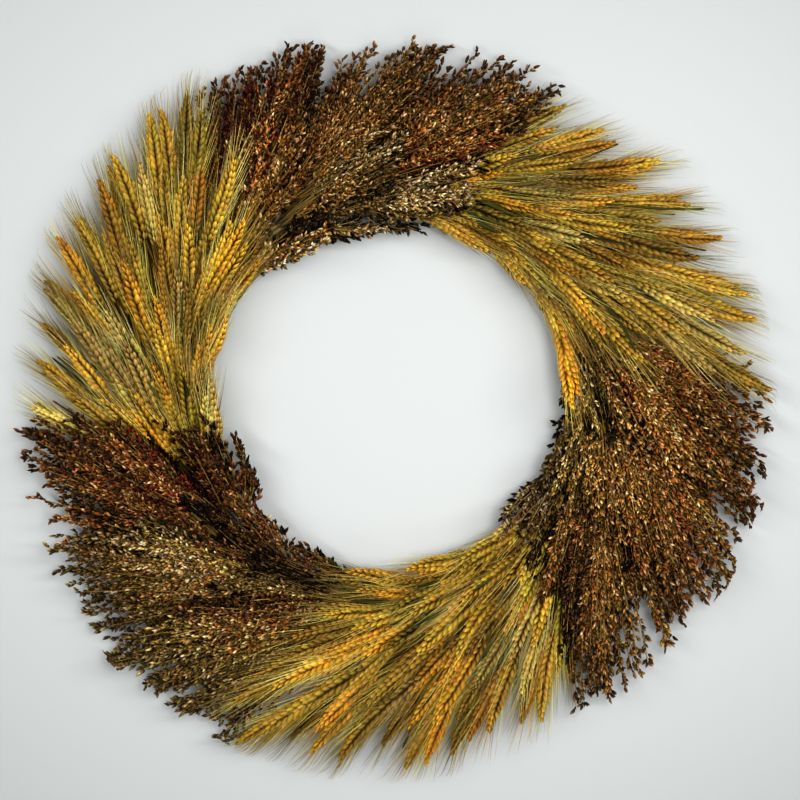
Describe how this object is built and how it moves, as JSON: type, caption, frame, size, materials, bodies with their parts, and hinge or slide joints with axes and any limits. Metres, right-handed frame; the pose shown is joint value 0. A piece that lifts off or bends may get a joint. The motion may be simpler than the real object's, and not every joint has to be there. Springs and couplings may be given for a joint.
{
  "type": "harvest door wreath",
  "caption": "Round harvest wreath of dried wheat ears and broomcorn brush in alternating groups, wired as overlapping bundles onto a welded wire frame, with a twisted hanging loop.",
  "frame": {"origin": "centre of the frame's rings, on the plane that the back rests on", "axes": "+Z out of the wreath's front, +Y towards the top as it hangs, +X to the right seen from the front"},
  "size_m": [0.5944, 0.593, 0.0643],
  "materials": {
    "frame_wire": "satin green enamel",
    "paddle_wire": "satin green enamel",
    "hanger_wire": "bright galvanised wire",
    "wheat": "dry ripe ears, straw sheen",
    "broomcorn": "dry glossy seeds on matt straw"
  },
  "bodies": {
    "root": {"frame_ring_inner": "frame_wire", "frame_ring_inner_middle": "frame_wire", "frame_ring_outer_middle": "frame_wire", "frame_ring_outer": "frame_wire", "frame_stay_1": "frame_wire", "frame_stay_2": "frame_wire", "frame_stay_3": "frame_wire", "frame_stay_4": "frame_wire", "frame_stay_5": "frame_wire", "frame_stay_6": "frame_wire", "wheat_bundle_1": "wheat", "wheat_bundle_2": "wheat", "wheat_bundle_3": "wheat", "wheat_bundle_4": "wheat", "wheat_bundle_5": "wheat", "wheat_bundle_6": "wheat", "wheat_bundle_7": "wheat", "wheat_bundle_8": "wheat", "wheat_bundle_9": "wheat", "broomcorn_bundle_1": "broomcorn", "broomcorn_bundle_2": "broomcorn", "broomcorn_bundle_3": "broomcorn", "broomcorn_bundle_4": "broomcorn", "broomcorn_bundle_5": "broomcorn", "broomcorn_bundle_6": "broomcorn", "broomcorn_bundle_7": "broomcorn", "broomcorn_bundle_8": "broomcorn", "broomcorn_bundle_9": "broomcorn", "binding_wire_1": "paddle_wire", "binding_wire_2": "paddle_wire", "binding_wire_3": "paddle_wire", "binding_wire_4": "paddle_wire", "binding_wire_5": "paddle_wire", "binding_wire_6": "paddle_wire", "binding_wire_7": "paddle_wire", "binding_wire_8": "paddle_wire", "binding_wire_9": "paddle_wire", "binding_wire_10": "paddle_wire", "binding_wire_11": "paddle_wire", "binding_wire_12": "paddle_wire", "binding_wire_13": "paddle_wire", "binding_wire_14": "paddle_wire", "binding_wire_15": "paddle_wire", "binding_wire_16": "paddle_wire", "binding_wire_17": "paddle_wire", "binding_wire_18": "paddle_wire"},
    "hanger": {"hanger_loop": "hanger_wire"}
  },
  "joints": [
    {"name": "hanger_swing", "type": "hinge", "parent": "root", "child": "hanger", "pos_m": [0, 0.18815, 0.00667], "axis": [1, 0, 0], "range_deg": [-150, 30]}
  ]
}
